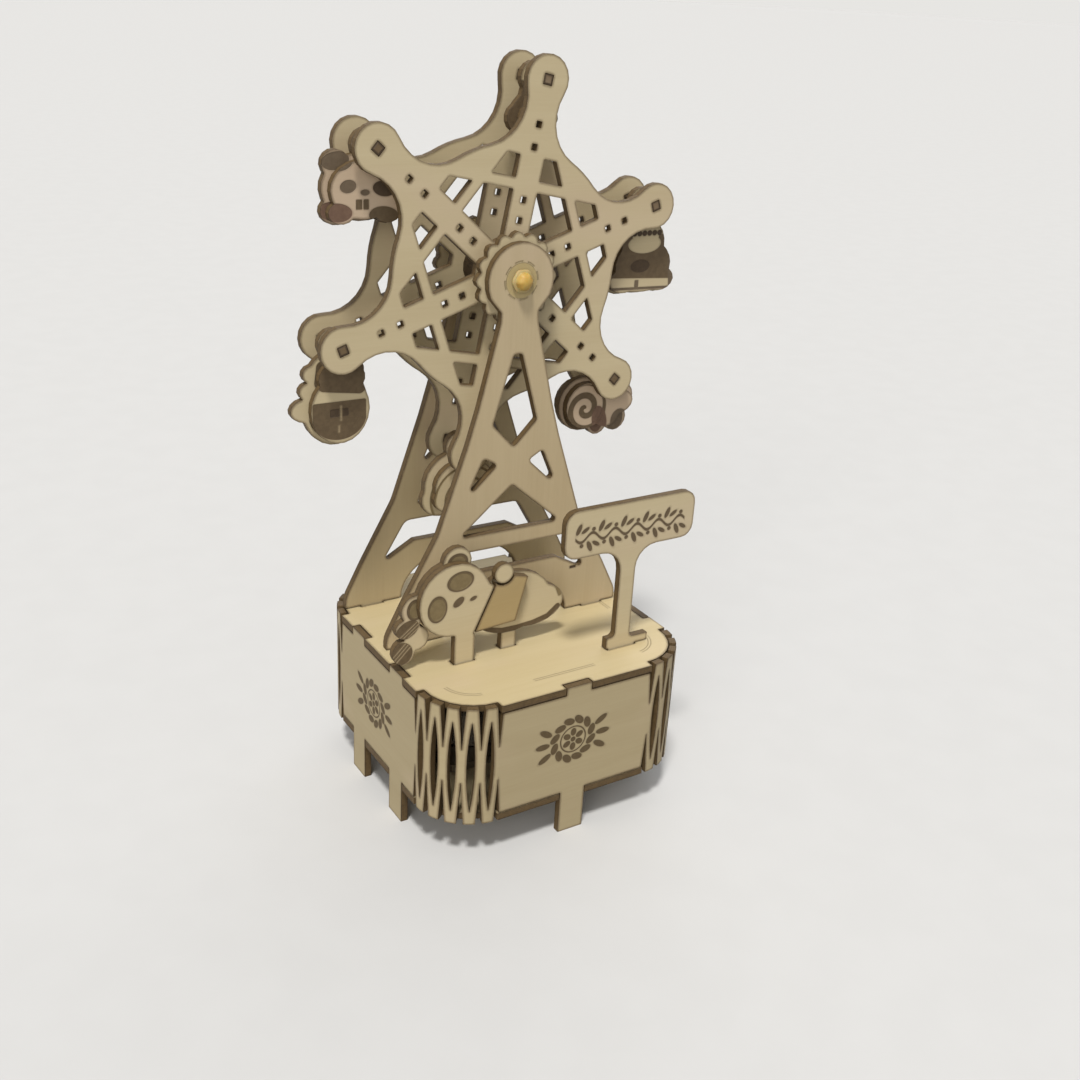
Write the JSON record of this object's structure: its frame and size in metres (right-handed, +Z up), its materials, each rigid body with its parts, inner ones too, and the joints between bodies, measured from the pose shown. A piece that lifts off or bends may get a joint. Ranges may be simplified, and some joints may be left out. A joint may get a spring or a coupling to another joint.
{
  "type": "ferris wheel music box",
  "caption": "Small ferris wheel of laser-cut plywood on a square base with slotted round corners, hanging gondolas, a lying panda and a bare sign, with a wind-up musical movement.",
  "frame": {"origin": "on the floor under the middle of the square base", "axes": "+X to the right of the front, +Y to the back, +Z up; the wheel's axle lies along Y"},
  "size_m": [0.1189, 0.082, 0.2033],
  "materials": {
    "plywood": "bare laser-cut plywood with browned edges",
    "plywood_pale": "bare pale plywood",
    "plywood_blanket": "plywood browned by engraving",
    "yellow_cap": "moulded",
    "steel": "satin",
    "brass": "turned"
  },
  "bodies": {
    "stand": {"base_bottom_plate": "plywood", "base_top_plate": "plywood_pale", "base_wall": "plywood", "movement_barrel": "steel", "movement_bearing_back": "steel", "movement_bearing_front": "steel", "movement_bed": "steel", "movement_comb": "steel", "movement_comb_block": "steel", "movement_governor": "brass", "panda_blanket": "plywood_blanket", "panda_body": "plywood", "panda_head": "plywood", "panda_paw": "plywood", "sign": "plywood", "support_back": "plywood", "support_front": "plywood"},
    "wheel": {"wheel_plate_front": "plywood", "wheel_plate_back": "plywood", "hub_disc_front": "plywood", "hub_disc_back": "plywood", "hub_washer_front": "plywood", "hub_washer_back": "plywood", "hub_core": "plywood", "axle": "steel", "axle_cap_front": "yellow_cap", "axle_cap_back": "yellow_cap", "pin_cone": "plywood", "pin_bear": "plywood", "pin_bird": "plywood", "pin_shell": "plywood", "pin_snail": "plywood", "pin_bell": "plywood"},
    "gondola_cone": {"gondola_cone_core": "plywood", "gondola_cone_front": "plywood", "gondola_cone_back": "plywood"},
    "gondola_bear": {"gondola_bear_core": "plywood", "gondola_bear_front": "plywood", "gondola_bear_back": "plywood"},
    "gondola_bird": {"gondola_bird_core": "plywood", "gondola_bird_front": "plywood", "gondola_bird_back": "plywood"},
    "gondola_shell": {"gondola_shell_core": "plywood", "gondola_shell_front": "plywood", "gondola_shell_back": "plywood"},
    "gondola_snail": {"gondola_snail_core": "plywood", "gondola_snail_front": "plywood", "gondola_snail_back": "plywood"},
    "gondola_bell": {"gondola_bell_core": "plywood", "gondola_bell_front": "plywood", "gondola_bell_back": "plywood"},
    "drum": {"movement_drum": "brass"},
    "key": {"winding_key": "steel"}
  },
  "joints": [
    {"name": "wheel_spin", "type": "hinge", "parent": "stand", "child": "wheel", "pos_m": [0, 0.01406, 0.148], "axis": [0, 1, 0], "continuous": true},
    {"name": "swing_cone", "type": "hinge", "parent": "wheel", "child": "gondola_cone", "pos_m": [0.00963, 0.01406, 0.19706], "axis": [0, 1, 0], "continuous": true},
    {"name": "swing_bear", "type": "hinge", "parent": "wheel", "child": "gondola_bear", "pos_m": [-0.03768, 0.01406, 0.18087], "axis": [0, 1, 0], "continuous": true},
    {"name": "swing_bird", "type": "hinge", "parent": "wheel", "child": "gondola_bird", "pos_m": [-0.0473, 0.01406, 0.1318], "axis": [0, 1, 0], "continuous": true},
    {"name": "swing_shell", "type": "hinge", "parent": "wheel", "child": "gondola_shell", "pos_m": [-0.00963, 0.01406, 0.09893], "axis": [0, 1, 0], "continuous": true},
    {"name": "swing_snail", "type": "hinge", "parent": "wheel", "child": "gondola_snail", "pos_m": [0.03768, 0.01406, 0.11513], "axis": [0, 1, 0], "continuous": true},
    {"name": "swing_bell", "type": "hinge", "parent": "wheel", "child": "gondola_bell", "pos_m": [0.0473, 0.01406, 0.1642], "axis": [0, 1, 0], "continuous": true},
    {"name": "drum_spin", "type": "hinge", "parent": "stand", "child": "drum", "pos_m": [0.0095, 0, 0.0245], "axis": [0, 1, 0], "continuous": true},
    {"name": "key_turn", "type": "hinge", "parent": "stand", "child": "key", "pos_m": [-0.0115, 0, 0.011], "axis": [0, 0, 1], "continuous": true}
  ]
}
